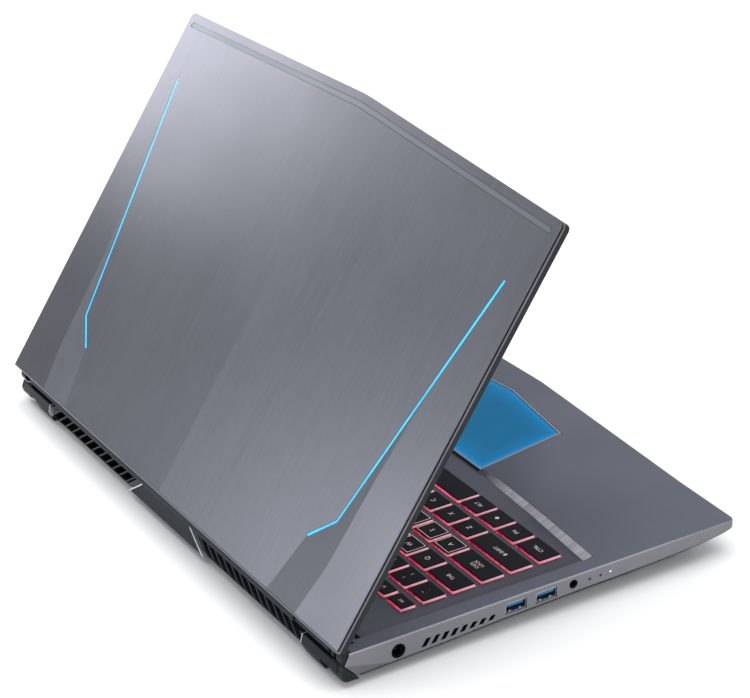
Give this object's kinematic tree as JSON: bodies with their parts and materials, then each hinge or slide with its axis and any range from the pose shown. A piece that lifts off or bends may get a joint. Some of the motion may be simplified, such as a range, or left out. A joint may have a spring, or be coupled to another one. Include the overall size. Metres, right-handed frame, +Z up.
{
  "type": "laptop computer",
  "caption": "Gaming laptop with a brushed metal lid, lit keyboard and trackpad, standing with its lid part open; lid, keys, trackpad, power button and fans move.",
  "frame": {"origin": "on the table under the middle of the footprint, with the lid open as stored", "axes": "+X to the user's right, +Y towards the hinge at the rear, +Z up"},
  "size_m": [0.4002, 0.2636, 0.2346],
  "materials": {
    "brushed_gunmetal": "brushed, satin",
    "side_metal": "satin",
    "dark_steel": "satin",
    "dark_plastic": "matte",
    "bezel_plastic": "fine matte",
    "key_plastic": "matte, translucent skirt lit from below",
    "light_guide": "lit from inside",
    "trackpad_glass": "satin, lit from below",
    "screen_glass": "anti-glare",
    "foot_rubber": "matte",
    "circuit_board": "satin",
    "battery_pack": "satin",
    "copper": "satin",
    "socket_metal": "satin",
    "clear_guide": "clear"
  },
  "bodies": {
    "base": {"audio_socket": "dark_plastic", "battery": "battery_pack", "bottom_cover": "dark_plastic", "ethernet_socket": "socket_metal", "fan_housing_left": "dark_plastic", "fan_housing_right": "dark_plastic", "foot_front_left": "foot_rubber", "foot_front_right": "foot_rubber", "foot_rear_left": "foot_rubber", "foot_rear_right": "foot_rubber", "heat_spreader": "copper", "heatsink_left": "copper", "heatsink_right": "copper", "hinge_base_left": "dark_steel", "hinge_base_right": "dark_steel", "keyboard_plate": "dark_steel", "keycap_field": "key_plastic", "motherboard": "circuit_board", "power_socket": "dark_plastic", "rear_centre_block": "dark_plastic", "rear_corner_left": "dark_plastic", "rear_corner_right": "dark_plastic", "rear_grille_left": "dark_plastic", "rear_grille_right": "dark_plastic", "speaker_left": "dark_plastic", "speaker_right": "dark_plastic", "status_light_guide": "clear_guide", "top_case": "brushed_gunmetal", "trackpad_bezel": "side_metal", "usb_socket_front": "socket_metal", "usb_socket_rear": "socket_metal"},
    "lid": {"lid_cover": "brushed_gunmetal", "lid_frame": "dark_plastic", "lid_edge_trim": "side_metal", "lid_bezel": "bezel_plastic", "display_panel": "screen_glass", "webcam": "screen_glass", "lid_light_left": "light_guide", "lid_light_right": "light_guide", "hinge_arm_left": "dark_steel", "hinge_arm_right": "dark_steel"},
    "left_fan": {"fan_impeller_left": "dark_plastic"},
    "right_fan": {"fan_impeller_right": "dark_plastic"},
    "trackpad": {"trackpad": "trackpad_glass"},
    "power_button": {"power_button": "dark_plastic"},
    "key_a": {"key_a": "key_plastic"},
    "key_alt": {"key_alt": "key_plastic"},
    "key_caps": {"key_caps": "key_plastic"},
    "key_ctrl": {"key_ctrl": "key_plastic"},
    "key_esc": {"key_esc": "key_plastic"},
    "key_fn": {"key_fn": "key_plastic"},
    "key_grave": {"key_grave": "key_plastic"},
    "key_menu": {"key_menu": "key_plastic"},
    "key_q": {"key_q": "key_plastic"},
    "key_s": {"key_s": "key_plastic"},
    "key_shift": {"key_shift": "key_plastic"},
    "key_tab": {"key_tab": "key_plastic"},
    "key_w": {"key_w": "key_plastic"},
    "key_x": {"key_x": "key_plastic"},
    "key_z": {"key_z": "key_plastic"}
  },
  "joints": [
    {"name": "lid_hinge", "type": "hinge", "parent": "base", "child": "lid", "pos_m": [0, 0.12333, 0.01746], "axis": [-1, 0, 0], "range_deg": [-55.4, 64.6]},
    {"name": "left_fan_spin", "type": "hinge", "parent": "base", "child": "left_fan", "pos_m": [-0.112, 0.064, 0.0088], "axis": [0, 0, 1], "continuous": true},
    {"name": "right_fan_spin", "type": "hinge", "parent": "base", "child": "right_fan", "pos_m": [0.112, 0.064, 0.0088], "axis": [0, 0, 1], "continuous": true},
    {"name": "trackpad_click", "type": "hinge", "parent": "base", "child": "trackpad", "pos_m": [0, -0.0406, 0.0207], "axis": [1, 0, 0], "range_deg": [0, 0.5], "stiffness_Nm_per_rad": 8, "springref_deg": -1.15},
    {"name": "power_button_press", "type": "slide", "parent": "base", "child": "power_button", "axis": [0, 0, -1], "range_m": [0, 0.0005], "stiffness_N_per_m": 800, "springref_m": -0.0002},
    {"name": "key_a_press", "type": "slide", "parent": "base", "child": "key_a", "axis": [0, 0, -1], "range_m": [0, 0.0016], "stiffness_N_per_m": 300, "springref_m": -0.0004},
    {"name": "key_alt_press", "type": "slide", "parent": "base", "child": "key_alt", "axis": [0, 0, -1], "range_m": [0, 0.0016], "stiffness_N_per_m": 300, "springref_m": -0.0004},
    {"name": "key_caps_press", "type": "slide", "parent": "base", "child": "key_caps", "axis": [0, 0, -1], "range_m": [0, 0.0016], "stiffness_N_per_m": 300, "springref_m": -0.0004},
    {"name": "key_ctrl_press", "type": "slide", "parent": "base", "child": "key_ctrl", "axis": [0, 0, -1], "range_m": [0, 0.0016], "stiffness_N_per_m": 300, "springref_m": -0.0004},
    {"name": "key_esc_press", "type": "slide", "parent": "base", "child": "key_esc", "axis": [0, 0, -1], "range_m": [0, 0.0016], "stiffness_N_per_m": 300, "springref_m": -0.0004},
    {"name": "key_fn_press", "type": "slide", "parent": "base", "child": "key_fn", "axis": [0, 0, -1], "range_m": [0, 0.0016], "stiffness_N_per_m": 300, "springref_m": -0.0004},
    {"name": "key_grave_press", "type": "slide", "parent": "base", "child": "key_grave", "axis": [0, 0, -1], "range_m": [0, 0.0016], "stiffness_N_per_m": 300, "springref_m": -0.0004},
    {"name": "key_menu_press", "type": "slide", "parent": "base", "child": "key_menu", "axis": [0, 0, -1], "range_m": [0, 0.0016], "stiffness_N_per_m": 300, "springref_m": -0.0004},
    {"name": "key_q_press", "type": "slide", "parent": "base", "child": "key_q", "axis": [0, 0, -1], "range_m": [0, 0.0016], "stiffness_N_per_m": 300, "springref_m": -0.0004},
    {"name": "key_s_press", "type": "slide", "parent": "base", "child": "key_s", "axis": [0, 0, -1], "range_m": [0, 0.0016], "stiffness_N_per_m": 300, "springref_m": -0.0004},
    {"name": "key_shift_press", "type": "slide", "parent": "base", "child": "key_shift", "axis": [0, 0, -1], "range_m": [0, 0.0016], "stiffness_N_per_m": 300, "springref_m": -0.0004},
    {"name": "key_tab_press", "type": "slide", "parent": "base", "child": "key_tab", "axis": [0, 0, -1], "range_m": [0, 0.0016], "stiffness_N_per_m": 300, "springref_m": -0.0004},
    {"name": "key_w_press", "type": "slide", "parent": "base", "child": "key_w", "axis": [0, 0, -1], "range_m": [0, 0.0016], "stiffness_N_per_m": 300, "springref_m": -0.0004},
    {"name": "key_x_press", "type": "slide", "parent": "base", "child": "key_x", "axis": [0, 0, -1], "range_m": [0, 0.0016], "stiffness_N_per_m": 300, "springref_m": -0.0004},
    {"name": "key_z_press", "type": "slide", "parent": "base", "child": "key_z", "axis": [0, 0, -1], "range_m": [0, 0.0016], "stiffness_N_per_m": 300, "springref_m": -0.0004}
  ]
}
